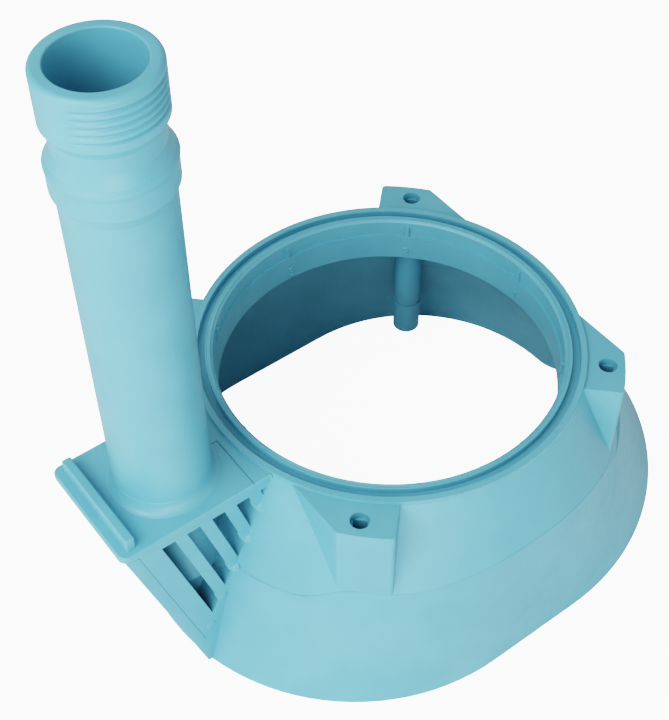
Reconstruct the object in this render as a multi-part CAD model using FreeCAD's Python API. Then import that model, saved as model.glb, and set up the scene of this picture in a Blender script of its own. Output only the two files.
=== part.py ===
import FreeCAD, Part
import math
import os

V = FreeCAD.Vector

# Heights run from the top face of the ears, which is zero; the ring's axis is Z.
# The four ears lie on X and Y. The outlet side lies along the line at 225 degrees.

# Motor ring
hole_circle_r = 76.0
ring_r = 69.0
land_h = 1.0
groove_outer_r = 66.8
groove_w = 3.0
groove_depth = 2.6
lip_w = 1.6
bore_r = 61.3
bore_step = 0.8
step_depth = 6.0
collar_depth = 17.0
collar_wall = 3.1
tick_w = 1.6
tick_gap = 1.4
tick_turn = 45

# Casing body
height = 86.0
wall = 3.2
roof = 5.0
cone_slope = 0.42
crease_low = 38.0
flare_slope = 2.0
skirt_split = 43.0
skirt_top_drop = 27.0
skirt_half_w = 80.0
skirt_left_centre = -2.6
skirt_right_centre = 1.7
base_half_w = 83.6
base_left_centre = -14.8
far_corner_u = 28.0
far_corner_in = 13.6
near_corner_u = 23.5
near_corner_out = 11.3
near_corner_turn = 22.0
nose_r = 20.0
nose_fillet = 12.0
skirt_stops = (-near_corner_turn, -7.0, -3.0, 0.0)
outlet_stops = (90.0, 155.0, 205.0, 270.0)

# Ears
ear_reach = 81.6
ear_bulge = 0.5
ear_half = 11.9
ear_chamfer = 88.2
ear_edge_r = 1.6
ear_roof = 5.0
ear_wall = 3.0
recess_r = 3.25
recess_depth = 3.2
square_side = 4.7
square_depth = 9.0
pilot_r = 2.1
post_r = 4.3
foot_r = 5.4
foot_top = 55.0
post_end = 70.0
web_t = 2.4

# Outlet block and plate, in a frame turned so that the outlet lies along -u
outlet_turn = 45
outlet_u = -92.8
plate_end_u = -121.5
plate_half_w = 22.4
plate_t = 2.4
plate_corner_r = 3.0
plate_bevel = 0.5
block_slope = 0.28
bar_w = 3.4
bar_h = 4.9
bar_in = 3.2
bar_half = 19.9
bar_edge_r = 0.7
slot_count = 5
slot_first_u = -107.4
slot_w = 4.8
slot_pitch = 9.4
slot_top = 5.7
ramp_u = -62.5
ramp_slope = 0.528
grille_t = 1.2
block_wall = 2.0
duct_top = 42.0
duct_half_w = 12.0
witness_u = -72.2
witness_w = 0.4
witness_d = 0.3
witness_run = 3.0

# Outlet pipe
pipe_top = 161.4
pipe_r = 16.0
pipe_wall = 3.1
throat_r = 12.4
throat_top = 6.0
neck_r = 15.15
thread_r = 16.62
thread_len = 15.4
thread_fade = 2.8
thread_lead = 1.8
thread_run = 11.8
thread_flat = 8.0
rim_chamfer = 1.0
collar_r = 17.3
collar_top = 132.6
collar_h = 8.1
collar_rise = 5.4
collar_run = 3.4
foot_rise = 3.0
foot_run = 1.6

# Dependent sizes
far_corner_r = base_half_w - far_corner_in
near_corner_r = base_half_w + near_corner_out
groove_inner_r = groove_outer_r - groove_w
lip_inner_r = groove_inner_r - lip_w
low_bore_r = bore_r - bore_step
collar_outer_r = low_bore_r + collar_wall
pipe_bore_r = pipe_r - pipe_wall
block_u = plate_end_u + plate_bevel
block_half_w = plate_half_w - plate_bevel
far = 4.0 * hole_circle_r

# How far a cut runs past a face, and how far joined cuts overlap
over = 1.0
bite = 0.1


def turned(points):
    wire = Part.makePolygon([V(r, 0, z) for r, z in points] + [V(points[0][0], 0, points[0][1])])
    return Part.Face(wire).revolve(V(0, 0, 0), V(0, 0, 1), 360)


def drum(r, z0, z1, x=0.0, y=0.0):
    return Part.makeCylinder(r, z1 - z0, V(x, y, z0))


def block(x0, x1, y0, y1, z0, z1):
    return Part.makeBox(x1 - x0, y1 - y0, z1 - z0, V(x0, y0, z0))


def slab(points, half_w):
    wire = Part.makePolygon([V(u, -half_w, z) for u, z in points] + [V(points[0][0], -half_w, points[0][1])])
    return Part.Face(wire).extrude(V(0, 2 * half_w, 0))


def on_circle(centre, r, angle, z):
    a = math.radians(angle)
    return V(centre[0] + r * math.cos(a), centre[1] + r * math.sin(a), z)


def arc(centre, r, a0, a1, z):
    p = [on_circle(centre, r, a, z) for a in (a0, (a0 + a1) / 2.0, a1)]
    return Part.Arc(p[0], p[1], p[2]).toShape()


def outlet_end(centre, half, z):
    return [arc(centre, half, a, b, z) for a, b in zip(outlet_stops[:-1], outlet_stops[1:])]


# The base is wider on its near right side. There the outline runs out to a rounded nose,
# and a short hollow curve brings it back to the far corner.
def base_outline(inset, z):
    half = base_half_w - inset
    near = near_corner_r - inset
    far_r = far_corner_r - inset
    nose = nose_r - inset
    hollow = nose_fillet + inset
    left = (base_left_centre, 0.0)
    near_c = (near_corner_u, near_corner_out)
    far_c = (far_corner_u, far_corner_in)
    nose_c = on_circle(near_c, near_corner_r - nose_r, -near_corner_turn, z)
    hollow_c = (far_c[0] + far_corner_r + nose_fillet, far_c[1])
    du, dv = hollow_c[0] - nose_c.x, hollow_c[1] - nose_c.y
    turn = math.degrees(math.atan2(dv, du) - math.acos((nose_r + nose_fillet) / math.hypot(du, dv)))
    nose_c = (nose_c.x, nose_c.y)
    return [
        arc(near_c, near, -90, -near_corner_turn, z),
        arc(nose_c, nose, -near_corner_turn, turn, z),
        Part.makeLine(on_circle(nose_c, nose, turn, z), on_circle(hollow_c, hollow, 180 + turn, z)),
        arc(hollow_c, hollow, 180 + turn, 180, z),
        arc(far_c, far_r, 0, 90, z),
        Part.makeLine(V(far_c[0], half, z), V(left[0], half, z))] + outlet_end(left, half, z) + [
        Part.makeLine(V(left[0], -half, z), V(near_c[0], -half, z))]


def skirt_outline(inset, z):
    half = skirt_half_w - inset
    right = (skirt_right_centre, 0.0)
    left = (skirt_left_centre, 0.0)
    stops = (-90.0,) + skirt_stops + (90.0,)
    ends = [arc(right, half, a, b, z) for a, b in zip(stops[:-1], stops[1:])]
    return ends + [
        Part.makeLine(V(right[0], half, z), V(left[0], half, z))] + outlet_end(left, half, z) + [
        Part.makeLine(V(left[0], -half, z), V(right[0], -half, z))]


def three_points(edge):
    a, b = edge.FirstParameter, edge.LastParameter
    return [edge.valueAt(t) for t in (a, (a + b) / 2.0, b)]


def is_line(edge):
    return isinstance(edge.Curve, Part.Line)


# The outline part of the way down: its points lie on the straight rulings of the walls.
def between(high, low, share):
    out = []
    for a, b in zip(high, low):
        p = [m + (n - m) * share for m, n in zip(three_points(a), three_points(b))]
        out.append(Part.makeLine(p[0], p[2]) if is_line(a) else Part.Arc(p[0], p[1], p[2]).toShape())
    return out


def wall_face(a, b):
    if not (is_line(a) and is_line(b)):
        return Part.makeRuledSurface(a, b)
    p, q = three_points(a), three_points(b)
    return Part.Face(Part.makePolygon([p[0], p[2], q[2], q[0], p[0]]))


# Ruled walls run from the outline at the skirt's top to the base outline, in two bands.
def skirt(inset, top):
    high = skirt_outline(inset, -skirt_top_drop)
    low = base_outline(inset, -height)
    split = between(high, low, (skirt_split - skirt_top_drop) / (height - skirt_top_drop))
    lid = Part.Face(Part.Wire(high))
    walls = [wall_face(a, b) for a, b in list(zip(high, split)) + list(zip(split, low))]
    shell = Part.Shell(walls + [lid, Part.Face(Part.Wire(low))])
    shell.sewShape()
    return Part.Solid(shell).fuse(lid.extrude(V(0, 0, skirt_top_drop + top)))


def cone_r(z):
    return ring_r - cone_slope * (z + land_h)


# The cone flares below the crease, where the skirt is wider than the cone.
def shell_form(inset, rim):
    lean = inset * math.hypot(1, cone_slope)
    low_lean = inset * math.hypot(1, flare_slope)
    bend = -crease_low - (low_lean - lean) / (flare_slope - cone_slope)
    bend_r = cone_r(bend) - lean
    foot = [(bend_r, bend), (bend_r + flare_slope * (height + bend), -height), (0, -height)]
    top = rim[0][1]
    return turned([(0, top)] + rim + foot).common(skirt(inset, top))


def body():
    return shell_form(0.0, [(ring_r, land_h), (ring_r, -land_h)])


def cavity():
    lean = wall * math.hypot(1, cone_slope)
    return shell_form(wall, [(cone_r(-roof) - lean, -roof)])


def ring_cut():
    top = land_h + over
    chamfer = lip_inner_r - bore_r
    return turned([(0, top), (lip_inner_r + over, top), (lip_inner_r, land_h), (bore_r, land_h - chamfer),
                   (bore_r, -step_depth), (low_bore_r, -step_depth), (low_bore_r, -height), (0, -height)])


def groove_cut():
    return drum(groove_outer_r, land_h - groove_depth, land_h + over).cut(
        drum(groove_inner_r, -roof, land_h + 2 * over))


def collar():
    return drum(collar_outer_r, -collar_depth, -roof / 2.0).cut(drum(low_bore_r - over, -height, 0))


def ticks():
    out = []
    half = tick_w / 2.0
    for turn in range(0, 360, tick_turn):
        rib = block(low_bore_r - over, bore_r + over, -half, half, -step_depth - bite, -tick_gap)
        rib = rib.cut(drum(low_bore_r, -height, 0))
        rib.rotate(V(0, 0, 0), V(0, 0, 1), turn)
        out.append(rib)
    return out


def ear_prism(inset, z0, z1):
    x = ear_reach - inset
    low = -ear_half + inset
    corner = ear_chamfer - inset * math.sqrt(2.0)
    high = corner - x
    root = low_bore_r - over
    edge = Part.Arc(V(x, low, z0), V(x + ear_bulge, (low + high) / 2.0, z0), V(x, high, z0)).toShape()
    wire = Part.Wire([
        Part.makeLine(V(root, low, z0), V(x, low, z0)),
        edge,
        Part.makeLine(V(x, high, z0), V(root, corner - root, z0)),
        Part.makeLine(V(root, corner - root, z0), V(root, low, z0))])
    return Part.Face(wire).extrude(V(0, 0, z1 - z0))


def upright(edge):
    a, b = edge.Vertexes[0].Point, edge.Vertexes[-1].Point
    return abs(a.x - b.x) < 1e-6 and abs(a.y - b.y) < 1e-6


def upright_edges(shape, near):
    return [e for e in shape.Edges if upright(e) and near(e.Vertexes[0].Point)]


def ear_foot():
    return -land_h - (math.hypot(ear_reach + ear_bulge, ear_half) - ring_r) / cone_slope


def ear_outer():
    prism = ear_prism(0.0, ear_foot() - 2 * over, 0.0)
    return prism.makeFillet(ear_edge_r, upright_edges(prism, lambda p: p.x > ear_reach - over))


def ear_hollow():
    return ear_prism(ear_wall, ear_foot() - wall / cone_slope, -ear_roof)


def post():
    stem = drum(post_r, -foot_top, -ear_roof / 2.0, hole_circle_r)
    foot = drum(foot_r, -post_end, -foot_top, hole_circle_r)
    half = web_t / 2.0
    web = block(hole_circle_r, cone_r(-height), -half, half, -post_end, -ear_roof)
    return stem.fuse([foot, web])


def ear_hole():
    s = square_side / 2.0
    x = hole_circle_r
    return drum(recess_r, -recess_depth, land_h + over, x).fuse([
        block(x - s, x + s, -s, s, -square_depth, -recess_depth + bite),
        drum(pilot_r, -post_end - over, -square_depth + bite, x)])


def round_the_ears(shape):
    across = V(1, -1, 0)
    along = V(1, 1, 0)
    pair = [shape, shape.mirror(V(0, 0, 0), across)]
    return pair + [s.mirror(V(0, 0, 0), along) for s in pair]


def plate():
    base = block(plate_end_u, roof - ring_r, -plate_half_w, plate_half_w, -plate_t, 0)
    base = base.makeFillet(plate_corner_r, upright_edges(base, lambda p: p.x < plate_end_u + over))
    top = [e for e in base.Edges if all(abs(v.Z) < 1e-6 for v in e.Vertexes)]
    rim = [e for e in top if e.BoundBox.XMin < -ring_r]
    return base.makeChamfer(plate_bevel, rim)


def bar():
    u = plate_end_u + bar_in
    rail = block(u, u + bar_w, -bar_half, bar_half, -plate_t / 2.0, bar_h)
    top = [e for e in rail.Edges if all(abs(v.Z - bar_h) < 1e-6 for v in e.Vertexes)]
    return rail.makeFillet(bar_edge_r, top + upright_edges(rail, lambda p: True))


def leaning(u, z):
    return u - block_slope * z


def ramp(z):
    return ramp_u + ramp_slope * z


def above_ramp(u, top):
    foot = (ramp_u - u) / (block_slope + ramp_slope)
    return slab([(leaning(u, -top), -top), (leaning(u, -foot), -foot), (ramp(-top), -top)], far)


def outlet_block():
    left = block_u + block_wall * math.hypot(1, block_slope)
    solid = slab([(leaning(block_u, -plate_t), -plate_t), (leaning(block_u, -height), -height),
                  (-bore_r, -height), (-bore_r, -plate_t)], block_half_w)
    inside = block(-far, far, grille_t - block_half_w, block_half_w - grille_t, -height, 0)
    solid = solid.cut(above_ramp(left, plate_t).common(inside))
    for i in range(slot_count):
        a = slot_first_u + i * slot_pitch + block_slope * -slot_top
        solid = solid.cut(above_ramp(a, slot_top).cut(above_ramp(a + slot_w, slot_top - over)))
    return solid


def duct(inset, top, half_w):
    u = block_u + inset * math.hypot(1, block_slope)
    low = leaning(u, -height)
    return slab([(leaning(u, -top), -top), (low, -height), (-bore_r, -height), (-bore_r, -top)], half_w)


def waterway():
    half = duct_half_w - wall
    low = drum(throat_r, -duct_top - wall - bite, -duct_top + wall + bite, outlet_u)
    return duct(wall, duct_top + wall, half).fuse([
        low.common(block(-far, 0, -half, half, -height, 0)),
        drum(throat_r, -duct_top + wall, throat_top + bite, outlet_u),
        drum(pipe_bore_r, throat_top, pipe_top + over, outlet_u)])


def pipe_form():
    low = collar_top - collar_h
    foot = pipe_r + foot_run
    below = -duct_top
    thread_low = pipe_top - thread_len
    return turned([
        (0, below), (pipe_r, below), (pipe_r, -plate_t / 2.0), (foot, -plate_t / 2.0), (foot, 0),
        (pipe_r, foot_rise), (pipe_r, low - collar_run), (collar_r, low), (collar_r, collar_top),
        (neck_r, collar_top + collar_rise), (neck_r, thread_low - thread_fade), (thread_r, thread_low),
        (thread_r, pipe_top - rim_chamfer), (thread_r - rim_chamfer, pipe_top), (0, pipe_top)])


# The fine thread fills two seats, one on each side of the mould's parting plane.
def thread_seats():
    top = pipe_top - thread_lead
    ring = drum(thread_r + over, top - thread_run, top).cut(drum(neck_r, 0, pipe_top))
    return ring.cut(block(-far, far, -thread_flat, thread_flat, 0, far))


def outlet_pipe():
    pipe = pipe_form().cut(thread_seats())
    pipe.translate(V(outlet_u, 0, 0))
    return pipe


def witness_line():
    u = witness_u
    t = witness_w
    long_run = block(u, u + t, -plate_half_w - over, 0, -witness_d, over)
    return long_run.fuse(block(u - witness_run, u + t, -t, 0, -witness_d, over))


def casing():
    main = body()
    outer = main.fuse([outlet_block(), duct(0.0, duct_top, duct_half_w), outlet_pipe(), plate(), bar()])
    inner = cavity().fuse(waterway())
    mark = witness_line()
    for shape in (main, outer, inner, mark):
        shape.rotate(V(0, 0, 0), V(0, 0, 1), outlet_turn)
    ears = round_the_ears(ear_outer())
    skin = main.fuse(ears)
    posts = [p.common(skin) for p in round_the_ears(post())]
    solid = outer.fuse(ears)
    solid = solid.cut(inner.fuse(round_the_ears(ear_hollow())))
    solid = solid.fuse(posts + [collar()])
    solid = solid.cut(ring_cut()).cut(groove_cut()).cut(mark)
    solid = solid.fuse(ticks())
    for hole in round_the_ears(ear_hole()):
        solid = solid.cut(hole)
    return solid.removeSplitter()


os.makedirs("parts", exist_ok=True)
shape = casing()
box = shape.BoundBox
print("pump_casing", shape.ShapeType, len(shape.Solids), round(shape.Volume), shape.isValid(),
      [round(d, 2) for d in (box.XLength, box.YLength, box.ZLength)], len(shape.Faces))
shape = shape.Solids[0]
shape.exportStep("parts/pump_casing.step")
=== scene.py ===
import math

import bpy
import numpy as np
from mathutils import Matrix, Vector
from mathutils.bvhtree import BVHTree


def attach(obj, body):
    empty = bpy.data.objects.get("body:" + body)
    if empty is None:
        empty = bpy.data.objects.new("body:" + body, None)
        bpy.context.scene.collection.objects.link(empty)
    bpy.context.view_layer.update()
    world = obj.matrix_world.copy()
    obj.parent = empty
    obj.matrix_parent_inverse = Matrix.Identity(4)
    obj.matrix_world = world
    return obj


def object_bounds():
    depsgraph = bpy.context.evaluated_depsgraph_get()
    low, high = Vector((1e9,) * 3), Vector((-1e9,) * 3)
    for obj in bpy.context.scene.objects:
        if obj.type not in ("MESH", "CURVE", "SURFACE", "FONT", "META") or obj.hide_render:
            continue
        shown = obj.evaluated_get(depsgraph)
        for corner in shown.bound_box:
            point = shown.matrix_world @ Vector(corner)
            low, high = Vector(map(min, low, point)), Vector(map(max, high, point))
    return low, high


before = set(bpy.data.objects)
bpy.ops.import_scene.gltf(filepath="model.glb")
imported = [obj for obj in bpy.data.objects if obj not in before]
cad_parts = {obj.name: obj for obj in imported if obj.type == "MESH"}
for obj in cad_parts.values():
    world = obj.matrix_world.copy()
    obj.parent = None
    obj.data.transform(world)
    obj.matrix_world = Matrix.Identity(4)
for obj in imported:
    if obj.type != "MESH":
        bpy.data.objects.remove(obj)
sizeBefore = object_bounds()
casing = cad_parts["pump_casing"]
print("stage 1: packed casing loaded")

# Unless a note says otherwise, lengths are millimetres in the casing's own frame, with z = 0 on the ears'
# top faces, and angles are degrees round the motor ring's axis, from +X towards +Y.
mm = 0.001
fullTurn = 2 * np.pi
quarterTurn = np.pi / 2


def linearColour(hexText):
    # sRGB hex to the linear values that a shader expects
    srgb = np.array([int(hexText[i:i + 2], 16) for i in (1, 3, 5)]) / 255.0
    lin = np.where(srgb <= 0.04045, srgb / 12.92, ((srgb + 0.055) / 1.055) ** 2.4)
    return tuple(float(c) for c in lin) + (1.0,)


def addNode(tree, kind, settings=None, inputs=None, links=None):
    # one node with its settings, its socket values and what feeds it
    node = tree.nodes.new(kind)
    for name, value in (settings or {}).items():
        setattr(node, name, value)
    for name, value in (inputs or {}).items():
        node.inputs[name].default_value = value
    for name, source in (links or {}).items():
        tree.links.new(source, node.inputs[name])
    return node


# Moulded polypropylene: the colour is mixed through, so it barely changes. What the eye meets is
# a satin skin from a polished steel mould, faint flow clouds and a very fine grain.
polypropylene = {
    "colourStops": ((0.30, "#5EA3B9"), (0.50, "#63A8BE"), (0.72, "#68ADC3")),    # along the cloud noise
    "ior": 1.49,
    "roughness": (0.38, 0.47),
    "streakRange": (0.3, 0.7),     # the part of the streak noise that the roughness follows
    "edgeSoftness": 0.35,          # moulded corners are never sharp
    "edgeSamples": 4,
    "bumpStrength": 1.0,
    "waveDepth": 0.05,
    "grainDepth": 0.012,
    "noises": {                    # size of a patch, then the texture's own values
        "cloud": (26.0, {"Detail": 3.0, "Roughness": 0.55}),
        "streak": (5.0, {"Detail": 4.0, "Roughness": 0.6, "Distortion": 0.6}),
        "wave": (14.0, {"Detail": 1.0}),
        # real grain is about 0.05 mm, drawn as coarse as the render can show
        "grain": (0.9, {"Detail": 2.0, "Roughness": 0.6}),
    },
}


def makePolypropylene(name, look):
    mat = bpy.data.materials.new(name)
    mat.use_nodes = True
    tree = mat.node_tree
    tree.nodes.clear()
    place = addNode(tree, "ShaderNodeTexCoord").outputs["Object"]
    noise = {}
    for kind, (size, values) in look["noises"].items():
        texture = addNode(tree, "ShaderNodeTexNoise", inputs={"Scale": 1.0 / (size * mm), **values},
                          links={"Vector": place})
        noise[kind] = texture.outputs["Fac"]
    ramp = addNode(tree, "ShaderNodeValToRGB", links={"Fac": noise["cloud"]})
    stops = ramp.color_ramp.elements
    stops.new(look["colourStops"][1][0])
    for stop, (position, colour) in zip(stops, look["colourStops"]):
        stop.position = position
        stop.color = linearColour(colour)
    rough = addNode(tree, "ShaderNodeMapRange", inputs={
        "From Min": look["streakRange"][0], "From Max": look["streakRange"][1],
        "To Min": look["roughness"][0], "To Max": look["roughness"][1]}, links={"Value": noise["streak"]})
    edge = addNode(tree, "ShaderNodeBevel", {"samples": look["edgeSamples"]},
                   {"Radius": look["edgeSoftness"] * mm})
    waveBump = addNode(tree, "ShaderNodeBump", inputs={
        "Strength": look["bumpStrength"], "Distance": look["waveDepth"] * mm},
        links={"Height": noise["wave"], "Normal": edge.outputs["Normal"]})
    grainBump = addNode(tree, "ShaderNodeBump", inputs={
        "Strength": look["bumpStrength"], "Distance": look["grainDepth"] * mm},
        links={"Height": noise["grain"], "Normal": waveBump.outputs["Normal"]})
    shader = addNode(tree, "ShaderNodeBsdfPrincipled", inputs={"IOR": look["ior"]}, links={
        "Base Color": ramp.outputs["Color"],
        "Roughness": rough.outputs["Result"],
        "Normal": grainBump.outputs["Normal"]})
    addNode(tree, "ShaderNodeOutputMaterial", links={"Surface": shader.outputs["BSDF"]})
    return mat


satinPolypropylene = makePolypropylene("polypropyleneSatinMoulded", polypropylene)
casing.data.materials.clear()
casing.data.materials.append(satinPolypropylene)
print("stage 2: moulded plastic on the casing")


# Surfaces: how a grid of points becomes a closed piece, and how a piece finds the casing under it

casingTree = BVHTree.FromPolygons([v.co for v in casing.data.vertices],
                                  [p.vertices for p in casing.data.polygons])
outletTurn = math.radians(45.0)        # the outlet frame is the casing frame turned about Z
pipeU = -92.8


def fromOutlet(u, v, z):
    # outlet frame to casing frame: x = u cos a - v sin a, y = u sin a + v cos a
    c, s = math.cos(outletTurn), math.sin(outletTurn)
    u, v, z = np.broadcast_arrays(u, v, z)
    return np.stack([u * c - v * s, u * s + v * c, z], axis=-1).astype(float)


def gridFaces(index, wrapRows):
    # quads between neighbouring rows and columns; columns always join up
    low, high = (index, np.roll(index, -1, axis=0)) if wrapRows else (index[:-1], index[1:])
    return np.stack([low, np.roll(low, -1, axis=1), np.roll(high, -1, axis=1), high], axis=-1).reshape(-1, 4)


def capFaces(ring, pole):
    # a fan of triangles from one row to its pole
    return np.stack([ring, np.roll(ring, -1), np.full(len(ring), pole)], axis=-1)


def insideOut(points, faces):
    # the volume a closed surface holds, summed corner by corner, is negative when its faces look inwards
    tris = np.vstack([f[:, [0, i, i + 1]] for f in faces for i in range(1, f.shape[1] - 1)])
    a, b, c = (points[tris[:, i]] for i in range(3))
    return np.einsum("ij,ij->i", a, np.cross(b, c)).sum() < 0


def buildPiece(name, shells):
    # each shell is a grid of points in millimetres, with its two poles, or with None where its rows join up
    allPoints, allFaces, count = [], [], 0
    for grid, poles in shells:
        rows, columns = grid.shape[:2]
        index = np.arange(rows * columns).reshape(rows, columns)
        points = grid.reshape(-1, 3)
        faces = [gridFaces(index, poles is None)]
        if poles is not None:
            points = np.vstack([points, poles])
            faces.append(np.vstack([capFaces(index[0], len(points) - 2)[:, ::-1],
                                    capFaces(index[-1], len(points) - 1)]))
        if insideOut(points - points.mean(axis=0), faces):
            faces = [f[:, ::-1] for f in faces]
        allPoints.append(points)
        allFaces += [row for f in faces for row in (f + count).tolist()]
        count += len(points)
    mesh = bpy.data.meshes.new(name)
    mesh.from_pydata((np.vstack(allPoints) * mm).tolist(), [], allFaces)
    mesh.polygons.foreach_set("use_smooth", np.ones(len(mesh.polygons), bool))
    mesh.materials.append(satinPolypropylene)
    piece = bpy.data.objects.new(name, mesh)
    bpy.context.scene.collection.objects.link(piece)
    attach(piece, "root")


def landOn(starts, ways):
    # where rays from the starts meet the casing, and the way its faces look there
    hits = [casingTree.ray_cast(Vector(start * mm), Vector(way))
            for start, way in zip(starts, np.broadcast_to(ways, starts.shape))]
    return np.array([h[0] for h in hits]) / mm, np.array([h[1] for h in hits])


def softened(values, reach):
    # running mean down each column, with the ends held
    padded = np.pad(values, ((reach, reach), (0, 0)), mode="edge")
    kernel = np.ones(2 * reach + 1) / (2 * reach + 1)
    return np.stack([np.convolve(column, kernel, mode="valid") for column in padded.T], axis=-1)


def unit(vectors):
    return vectors / np.linalg.norm(vectors, axis=-1, keepdims=True)


def spread(values, power):
    # cos or sin raised to 2/power with its sign kept: power 2 is an ellipse, more is a rounded box
    return np.sign(values) * np.abs(values) ** (2.0 / power)


beadEndRings = 7                       # rings in each rounded end of a bead


def bead(path, normals, look, grow=(1.0, 1.0)):
    # A flattened tube, half sunk in what carries it. At distance s along the path and angle t round it:
    # point = path(s) + side(s) k(s) w/2 C(t) + normal(s) k(s) h g(s) S(t), with C and S from spread(),
    # k(s) rounding both ends off as a half circle, and g(s) the growth of the height along the path.
    run = np.concatenate([[0.0], np.cumsum(np.linalg.norm(np.diff(path, axis=0), axis=1))])
    end = look["width"] / 2.0
    turn = np.linspace(0.0, quarterTurn, beadEndRings + 1)[1:]
    first = end * (1.0 - np.cos(turn))
    count = max(3, int((run[-1] - 2 * end) / look["step"]))
    middle = np.linspace(end, run[-1] - end, count)[1:-1]
    s = np.concatenate([first, middle, (run[-1] - first)[::-1]])
    k = np.concatenate([np.sin(turn), np.ones(len(middle)), np.sin(turn)[::-1]])
    centre = np.stack([np.interp(s, run, path[:, i]) for i in range(3)], axis=-1)
    normal = unit(np.stack([np.interp(s, run, normals[:, i]) for i in range(3)], axis=-1))
    side = unit(np.cross(np.gradient(centre, s, axis=0), normal))
    t = np.linspace(0.0, fullTurn, look["around"], endpoint=False)
    wide = k * look["width"] / 2.0
    tall = look["tall"] * k * np.interp(s / run[-1], [0.0, 1.0], grow)
    grid = (centre[:, None] + side[:, None] * wide[:, None, None] * spread(np.cos(t), look["power"])[:, None]
            + normal[:, None] * tall[:, None, None] * spread(np.sin(t), look["power"])[:, None])
    return grid, np.array([path[0], path[-1]])


def roundPipe(r, z, a):
    # carried round the pipe's axis: u = axis + r cos a, v = r sin a
    return fromOutlet(pipeU + r * np.cos(a), r * np.sin(a), z[:, None] + 0 * a)


def latheAbout(profile, x, y, columns):
    # a profile of radius and height carried round an upright axis through x, y
    a = np.linspace(0.0, fullTurn, columns, endpoint=False)
    r, z = profile[:, 0][:, None], profile[:, 1][:, None]
    return np.stack([x + r * np.cos(a), y + r * np.sin(a), z + 0 * a], axis=-1)


def smoothStep(x):
    # 3 x^2 - 2 x^3, held at 0 and at 1
    x = np.clip(x, 0.0, 1.0)
    return x * x * (3.0 - 2.0 * x)


# Threaded end of the pipe: a fine moulded thread, with flats where the mould parts, over a smooth lining

threadedEnd = {
    "crest": 16.76,
    "pipeTop": 161.65,
    "foot": 144.0,
    "footRadius": 15.5,
    "footStep": 0.5,           # a short step out of the neck, and then a cone up to the crest
    "stepRadius": 15.9,
    "coneTop": 146.0,
    "pitch": 2.309,
    "phase": 0.35,             # in turns
    "depth": 0.78,
    "faintDepth": 0.11,        # the grooves run out shallow on the flats
    "narrow": 1.4,             # above one, a groove is narrower than a ridge
    "flat": 8.0,
    "faintStart": 2.5,
    "fade": 4.5,
    "low": 147.8,
    "high": 159.7,
    "runOut": 0.9,
    "rimRound": 1.6,
    "lipRound": 0.5,
    "lipGap": 0.02,            # keeps the rim's last point off the lip's first
    "bore": 12.8,
    "liningFoot": 128.0,       # below what can be seen from above
    "liningTaper": 2.0,
    "liningSunk": 0.15,
    "liningBack": 13.5,
    "core": 14.0,
    "backIn": 0.4,
    "backDown": 0.3,
    "columns": 288,
    "coneRows": 8,
    "threadRows": 84,
    "roundRows": 10,
}


def makeThreadedEnd(look):
    # r(a, z) = crest - D(v) W(z) (0.5 + 0.5 cos(2 pi (z / pitch + phase) - a)) ^ narrow, and v = crest sin a
    # is the distance from the parting plane. D grows with v in two steps, and W fades the grooves at both
    # ends. Below the thread r follows the cone instead of the crest. Rim and lip are quarter circles.
    a = np.linspace(0.0, fullTurn, look["columns"], endpoint=False)
    rimLow = look["pipeTop"] - look["rimRound"]
    z = np.concatenate([np.linspace(look["foot"], look["coneTop"], look["coneRows"])[:-1],
                        np.linspace(look["coneTop"], rimLow, look["threadRows"])])
    cone = np.interp(z, [look["foot"], look["foot"] + look["footStep"], look["coneTop"]],
                     [look["footRadius"], look["stepRadius"], look["crest"]])
    v = np.abs(look["crest"] * np.sin(a))
    depth = (look["faintDepth"] * smoothStep((v - look["faintStart"]) / look["fade"])
             + (look["depth"] - look["faintDepth"]) * smoothStep((v - look["flat"]) / look["fade"]))
    window = smoothStep((z - look["low"]) / look["runOut"]) * smoothStep((look["high"] - z) / look["runOut"])
    wave = 0.5 + 0.5 * np.cos(fullTurn * (z / look["pitch"] + look["phase"])[:, None] - a)
    outer = cone[:, None] - depth * window[:, None] * wave ** look["narrow"]
    turn = np.linspace(0.0, quarterTurn, look["roundRows"] + 1)[1:]
    rimR = look["crest"] - look["rimRound"] * (1 - np.cos(turn))
    rimZ = rimLow + look["rimRound"] * np.sin(turn)
    lipR = look["bore"] + look["lipRound"] * (1 - np.sin(turn))
    lipZ = look["pipeTop"] - look["lipRound"] * (1 - np.cos(turn))
    low = look["foot"] - look["backDown"]
    lining = look["liningFoot"]
    backR = np.array([look["bore"], look["bore"] + look["liningSunk"], look["liningBack"], look["core"],
                      look["footRadius"] - look["backIn"]])
    backZ = np.array([lining + look["liningTaper"], lining, lining, low, low])
    restR = np.concatenate([rimR, [look["bore"] + look["lipRound"] + look["lipGap"]], lipR, backR])
    restZ = np.concatenate([rimZ, [look["pipeTop"]], lipZ, backZ])
    r = np.vstack([outer, np.repeat(restR[:, None], len(a), axis=1)])
    return roundPipe(r, np.concatenate([z, restZ]), a), None


buildPiece("threadedEnd", [makeThreadedEnd(threadedEnd)])


# Fillet where the pipe stands on the plate, and the soft ridge round the top of the pipe's collar

pipeRings = {
    "pipeRadius": 16.0,
    "filletRun": 2.7,
    "filletRise": 4.4,
    "filletRows": 16,
    "filletBack": 1.0,
    "filletSunk": 0.6,
    "skin": 0.05,              # lifts the middle of the fillet, and leaves its ends where they are
    "ridgeRadius": 17.3,
    "ridgeZ": 132.6,
    "ridgeHalf": 1.5,
    "ridgeTall": 0.26,
    "ridgeLean": 0.4,          # how the collar draws in above its upper edge
    "ridgeDeep": 0.5,
    "ridgeRows": 24,
    "columns": 180,
}


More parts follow.
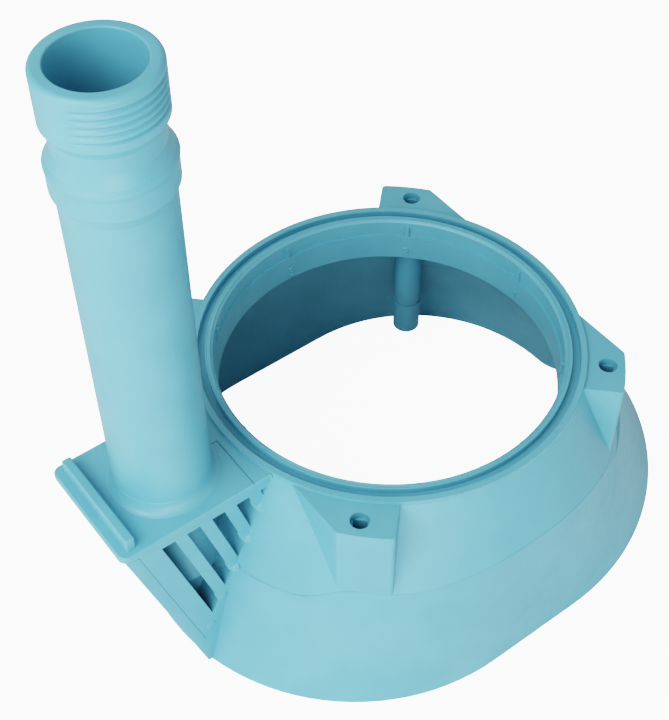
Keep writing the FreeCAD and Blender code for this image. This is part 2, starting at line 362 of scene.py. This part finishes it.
def makePipeRings(look):
    # fillet: r = R + run (1 - cos t), z = rise (1 - sin t); ridge: the collar's own line plus a soft swell,
    # tall (cos(pi s / (2 half))) ^ 2, where s runs up across the collar's upper edge
    t = np.linspace(0.0, quarterTurn, look["filletRows"])
    skin = look["skin"] * np.sin(2 * t)
    arcR = look["pipeRadius"] + look["filletRun"] * (1 - np.cos(t)) + skin
    arcZ = look["filletRise"] * (1 - np.sin(t)) + skin
    back = look["pipeRadius"] - look["filletBack"]
    fillet = [np.concatenate([arcR, [arcR[-1], back, back]]),
              np.concatenate([arcZ, [-look["filletSunk"], -look["filletSunk"], look["filletRise"]]])]
    s = np.linspace(-look["ridgeHalf"], look["ridgeHalf"], look["ridgeRows"])
    line = look["ridgeRadius"] - look["ridgeLean"] * np.maximum(s, 0.0)
    swell = look["ridgeTall"] * np.cos(np.pi * s / (2 * look["ridgeHalf"])) ** 2
    ends = [line[-1] - look["ridgeDeep"], line[0] - look["ridgeDeep"]]
    ridge = [np.concatenate([line + swell, ends]), look["ridgeZ"] + np.concatenate([s, [s[-1], s[0]]])]
    a = np.linspace(0.0, fullTurn, look["columns"], endpoint=False)
    return [(roundPipe(r[:, None], z, a), None) for r, z in (fillet, ridge)]


buildPiece("pipeRings", makePipeRings(pipeRings))
print("stage 3: thread, rim, foot fillet and collar ridge on the pipe")


# Seal lip: two hair-fine beads on its top

sealLip = {
    "beads": ((62.35, 0.28, 0.16), (63.65, 0.22, 0.14)),     # radius, half width, height
    "top": 1.0,
    "around": 10,
    "columns": 360,
}


def makeRingBeads(look):
    # an ellipse half sunk in the lip: r = R + half cos e, z = top + tall sin e
    e = np.linspace(0.0, fullTurn, look["around"], endpoint=False)
    profiles = [np.column_stack([radius + half * np.cos(e), look["top"] + tall * np.sin(e)])
                for radius, half, tall in look["beads"]]
    return [(latheAbout(profile, 0.0, 0.0, look["columns"]), None) for profile in profiles]


buildPiece("sealLipBeads", makeRingBeads(sealLip))


# Screw posts: each one carried down at its full width to its foot

screwPosts = {
    "circle": 76.0,
    "turns": (0.0, 90.0, 180.0, 270.0),
    "radius": 5.2,
    "top": -12.0,
    "low": -55.05,
    "edge": 0.5,
    "edgeMiddle": 0.3,         # where the rounded lower edge has its middle point, as a share of the edge
    "endShare": 0.5,           # each flat end has one more ring, at this share of the radius
    "columns": 40,
}


def makePosts(look):
    # profile: down the side at the full radius, round the lower edge, and in along both flat ends
    r, edge, low = look["radius"], look["edge"], look["low"]
    inner, middle = r * look["endShare"], look["edgeMiddle"] * edge
    profile = np.array([[inner, look["top"]], [r, look["top"]], [r, low + edge],
                        [r - middle, low + middle], [r - edge, low], [inner, low]])
    shells = []
    for turn in np.radians(look["turns"]):
        x, y = look["circle"] * math.cos(turn), look["circle"] * math.sin(turn)
        poles = np.array([[x, y, look["top"]], [x, y, low]])
        shells.append((latheAbout(profile, x, y, look["columns"]), poles))
    return shells


buildPiece("screwPosts", makePosts(screwPosts))


# Grille: its bars run out over the skirt in rounded noses, and a flat strip edges its first face

grilleSlope = 0.28             # bars and strip lean with the block's end
grilleSide = -60.0             # rays start here, outside the block's near wall
intoBlock = fromOutlet(0.0, 1.0, 0.0)

barNoses = {
    "firstBar": -112.1,        # the first bar's middle at z = 0
    "pitch": 9.4,
    "tips": (-66.2, -53.4, -39.6, -27.4, -14.6),
    "run": 7.5,
    "rows": 40,
    "smoothing": 5,            # points on each side in the running mean
    "sunk": 0.6,               # how deep each nose starts under its bar
    "swell": (0.1, 1.0),
    "width": 3.8,
    "tall": 0.6,
    "power": 3.0,              # of the bead's section: nearer to a box than to an ellipse
    "around": 28,
    "step": 0.35,              # between rings along the bead
}

edgeStrip = {
    "place": -118.75,          # the strip's middle at z = 0
    "top": -2.6,
    "low": -73.0,
    "rows": 60,
    "width": 4.2,
    "tall": 0.24,
    "power": 3.0,
    "around": 28,
    "step": 0.6,
}


def makeNose(look, number, tip):
    # down the bar, u = u0 - slope z, cast sideways onto the casing; it rises from under the face to its tip
    z = np.linspace(tip + look["run"], tip, look["rows"])
    u = look["firstBar"] + look["pitch"] * number - grilleSlope * z
    path, normals = landOn(fromOutlet(u, grilleSide, z), intoBlock)
    normals = unit(softened(normals, look["smoothing"]))
    sunk = look["sunk"] * np.linspace(1.0, 0.0, len(z))
    return bead(softened(path, look["smoothing"]) - normals * sunk[:, None], normals, look, look["swell"])


def makeStrip(look):
    # down the block's end, u = u0 - slope z, cast sideways onto the casing
    z = np.linspace(look["top"], look["low"], look["rows"])
    path, normals = landOn(fromOutlet(look["place"] - grilleSlope * z, grilleSide, z), intoBlock)
    return bead(path, normals, look)


buildPiece("grilleBarNoses", [makeNose(barNoses, i, tip) for i, tip in enumerate(barNoses["tips"])])
buildPiece("grilleEdgeStrip", [makeStrip(edgeStrip)])
print("stage 4: lip beads, screw posts, grille bar noses and edge strip")


# Crease: a hair-fine step that the mould leaves where the cone turns into the skirt

crease = {
    "from": -116.5,
    "to": 20.0,
    "directions": 120,
    "high": -24.0,
    "low": -44.0,
    "heightStep": 0.5,
    "reach": 4,                # steps on each side of a height that its bend is taken over
    "castFrom": 130.0,
    "heightSmoothing": 4,
    "pathSmoothing": 3,
    "width": 0.6,
    "tall": 0.15,
    "power": 2.0,
    "around": 12,
    "step": 1.2,
}


def makeCrease(look):
    # For each direction a column of rays finds the casing's outline r(z); the crease is where its second
    # difference is greatest. The heights found are smoothed along the crease and cast again.
    az = np.radians(np.linspace(look["from"], look["to"], look["directions"]))
    z = np.arange(look["low"], look["high"], look["heightStep"])
    up = np.array([0.0, 0.0, 1.0])
    way = np.stack([-np.cos(az), -np.sin(az), 0 * az], axis=-1)
    outside = -way * look["castFrom"]
    hits, _ = landOn((outside[:, None] + up * z[:, None]).reshape(-1, 3), np.repeat(way, len(z), axis=0))
    r = np.hypot(hits[:, 0], hits[:, 1]).reshape(len(az), len(z))
    reach = look["reach"]
    bend = np.abs(r[:, 2 * reach:] - 2 * r[:, reach:-reach] + r[:, :-2 * reach])
    at = softened(z[reach:-reach][np.argmax(bend, axis=1)][:, None], look["heightSmoothing"])
    path, normals = landOn(outside + up * at, way)
    return bead(softened(path, look["pathSmoothing"]), unit(softened(normals, look["pathSmoothing"])), look)


buildPiece("skirtCreaseLine", [makeCrease(crease)])
print("stage 5: crease line")


# Plain position numbers on the bore wall, one under each of three small ribs

numbers = {
    "places": ((134.0, "three"), (90.0, "two"), (45.0, "one")),
    "radius": 60.5,
    "low": -15.2,
    "high": 3.4,
    "wide": 2.1,
    "leastPoints": 12,
    "width": 0.62,             # of a stroke
    "tall": 0.45,              # relief
    "power": 2.0,
    "around": 10,
    "step": 0.15,
}


def arcPoints(centre, radii, start, stop, count=18):
    # centre + (a cos t, b sin t)
    t = np.radians(np.linspace(start, stop, count))
    return np.column_stack([centre[0] + radii[0] * np.cos(t), centre[1] + radii[1] * np.sin(t)])


numberStrokes = {              # in a box one wide and one tall
    "one": [np.array([[0.15, 0.74], [0.55, 1.0]]), np.array([[0.55, 1.0], [0.55, 0.0]])],
    "two": [np.vstack([arcPoints((0.48, 0.71), (0.44, 0.29), 165, -40), [[0.05, 0.0]]]),
            np.array([[0.05, 0.0], [0.98, 0.0]])],
    "three": [arcPoints((0.46, 0.745), (0.42, 0.255), 150, -90),
              arcPoints((0.46, 0.26), (0.46, 0.26), 90, -150)],
}


def makeNumber(look, place, kind):
    # drawn on the wall as seen from inside: angle = place - a wide / r, z = low + b high
    r = look["radius"]
    shells = []
    for stroke in numberStrokes[kind]:
        fine = np.linspace(0, len(stroke) - 1, max(look["leastPoints"], 2 * len(stroke)))
        a, b = (np.interp(fine, np.arange(len(stroke)), stroke[:, i]) for i in range(2))
        az = math.radians(place) - (a - 0.5) * look["wide"] / r
        path = np.stack([r * np.cos(az), r * np.sin(az), look["low"] + b * look["high"]], axis=-1)
        normals = np.stack([-np.cos(az), -np.sin(az), 0 * az], axis=-1)
        shells.append(bead(path, normals, look))
    return shells


buildPiece("positionNumbers", [shell for place, kind in numbers["places"]
                               for shell in makeNumber(numbers, place, kind)])
print("stage 6: position numbers")


# Flash: specks and short slivers that trimming left on the ring and at the plate's corner

flash = {
    "specks": (                # angle, radius, length, width
        (54.4, 60.9, 1.6, 0.5), (50.8, 60.9, 2.4, 0.45), (8.6, 62.4, 1.2, 0.6), (-25.5, 67.8, 1.3, 0.6),
        (-29.4, 67.8, 1.0, 0.5), (-75.3, 62.9, 3.2, 0.55), (160.2, 67.7, 1.1, 0.6), (156.0, 62.9, 1.3, 0.6),
        (141.7, 62.0, 1.1, 0.5), (111.3, 67.2, 1.2, 0.5), (146.5, 67.9, 1.4, 0.5), (-116.4, 69.5, 1.1, 0.9)),
    "castFrom": 12.0,
    "points": 9,
    "smoothing": 4,
    "tall": 0.32,
    "power": 2.0,
    "around": 10,
    "step": 0.2,
}


def makeSpeck(look, place, radius, length, width):
    # a short arc round the ring's axis, dropped from above onto the casing
    half = length / 2.0 / radius
    az = math.radians(place) + np.linspace(-half, half, look["points"])
    starts = np.stack([radius * np.cos(az), radius * np.sin(az), np.full(len(az), look["castFrom"])], axis=-1)
    path, normals = landOn(starts, np.array([0.0, 0.0, -1.0]))
    return bead(path, unit(softened(normals, look["smoothing"])), {**look, "width": width})


buildPiece("flashSpecks", [makeSpeck(flash, *speck) for speck in flash["specks"]])
print("stage 7: flash specks")


# Floor and light; here lengths are metres

studio = {
    "floorColour": "#F4F5F5",
    "floorHalf": 12.0,
    "floorRoughness": 0.9,
    "floorSpecular": 0.1,
    "floorGlow": 3.2,          # only the lens sees it: it whitens the paper and lights nothing
    "worldColour": "#F2F5F6",
    "worldStrength": 0.42,
    "film": "Filmic",
    "tone": "High Contrast",
    "exposure": 0.45,
    "aim": (0.0, 0.0, -0.03),
    "lamps": (                 # name, degrees round, degrees up, distance, size, power in watts
        ("frontLamp", -75, 8, 0.75, 0.50, 1.9),
        ("keyLamp", -120, 45, 0.75, 0.50, 2.5),
        ("leftLamp", -150, 12, 0.75, 0.50, 0.7),
        ("rightLamp", 0, 20, 0.75, 0.50, 0.12)),
}


def makePaper(name, look):
    # matte white paper, with a glow that is switched on for camera rays alone
    mat = bpy.data.materials.new(name)
    mat.use_nodes = True
    tree = mat.node_tree
    seen = addNode(tree, "ShaderNodeLightPath").outputs["Is Camera Ray"]
    glow = addNode(tree, "ShaderNodeMath", {"operation": "MULTIPLY"}, {1: look["floorGlow"]}, {0: seen})
    shader = tree.nodes["Principled BSDF"]
    shader.inputs["Base Color"].default_value = linearColour(look["floorColour"])
    shader.inputs["Roughness"].default_value = look["floorRoughness"]
    shader.inputs["Specular IOR Level"].default_value = look["floorSpecular"]
    shader.inputs["Emission Color"].default_value = linearColour(look["floorColour"])
    tree.links.new(glow.outputs["Value"], shader.inputs["Emission Strength"])
    return mat


def makeFloor(look, height):
    half = look["floorHalf"]
    corners = [(x * half, y * half, height) for x, y in ((-1, -1), (1, -1), (1, 1), (-1, 1))]
    mesh = bpy.data.meshes.new("floor")
    mesh.from_pydata(corners, [], [(0, 1, 2, 3)])
    mesh.materials.append(makePaper("paperBackdropMatte", look))
    floor = bpy.data.objects.new("floor", mesh)
    bpy.context.scene.collection.objects.link(floor)
    return floor


def makeLamp(name, turn, rise, distance, size, power, aim):
    # a round soft box on a sphere about the casing, facing it
    turn, rise = math.radians(turn), math.radians(rise)
    way = Vector((math.cos(rise) * math.cos(turn), math.cos(rise) * math.sin(turn), math.sin(rise)))
    data = bpy.data.lights.new(name, "AREA")
    data.shape = "DISK"
    data.size = size
    data.energy = power
    lamp = bpy.data.objects.new(name, data)
    lamp.location = Vector(aim) + way * distance
    lamp.rotation_euler = way.to_track_quat("Z", "Y").to_euler()
    bpy.context.scene.collection.objects.link(lamp)
    return lamp


def makeWorld(name, look):
    world = bpy.data.worlds.new(name)
    world.use_nodes = True
    background = world.node_tree.nodes["Background"]
    background.inputs["Color"].default_value = linearColour(look["worldColour"])
    background.inputs["Strength"].default_value = look["worldStrength"]
    bpy.context.scene.world = world


floor = makeFloor(studio, sizeBefore[0][2])
makeWorld("softRoom", studio)
for lampValues in studio["lamps"]:
    makeLamp(*lampValues, studio["aim"])
tone = bpy.context.scene.view_settings
tone.view_transform = studio["film"]
tone.look = studio["tone"]
tone.exposure = studio["exposure"]
print("stage 8: floor and lights")


# Camera at the photograph's angle, for an image 669 wide and 720 high

view = {
    "eye": (30.63, -327.76, 361.51),
    "turn": -8.624,
    "pitch": 48.412,
    "roll": -0.571,
    "focal": 1399.55,          # in pixels of the photograph
    "imageWidth": 669.0,
    "sensorWidth": 36.0,
    "clipStart": 10.0,
}


def makeCamera(name, look):
    # forward from turn and pitch, then right and up rolled about it
    turn, pitch, roll = (math.radians(look[k]) for k in ("turn", "pitch", "roll"))
    forward = Vector((math.sin(turn) * math.cos(pitch), math.cos(turn) * math.cos(pitch), -math.sin(pitch)))
    level = Vector((math.cos(turn), -math.sin(turn), 0.0))
    right = level * math.cos(roll) + level.cross(forward) * math.sin(roll)
    up = right.cross(forward)
    data = bpy.data.cameras.new(name)
    data.sensor_fit = "HORIZONTAL"
    data.sensor_width = look["sensorWidth"]
    data.lens = look["focal"] / look["imageWidth"] * look["sensorWidth"]
    data.clip_start = look["clipStart"] * mm
    camera = bpy.data.objects.new(name, data)
    facing = Matrix((right, up, -forward)).transposed().to_4x4()
    camera.matrix_world = Matrix.Translation(Vector(look["eye"]) * mm) @ facing
    bpy.context.scene.collection.objects.link(camera)
    bpy.context.scene.camera = camera


makeCamera("photoCamera", view)
print("stage 9: camera")
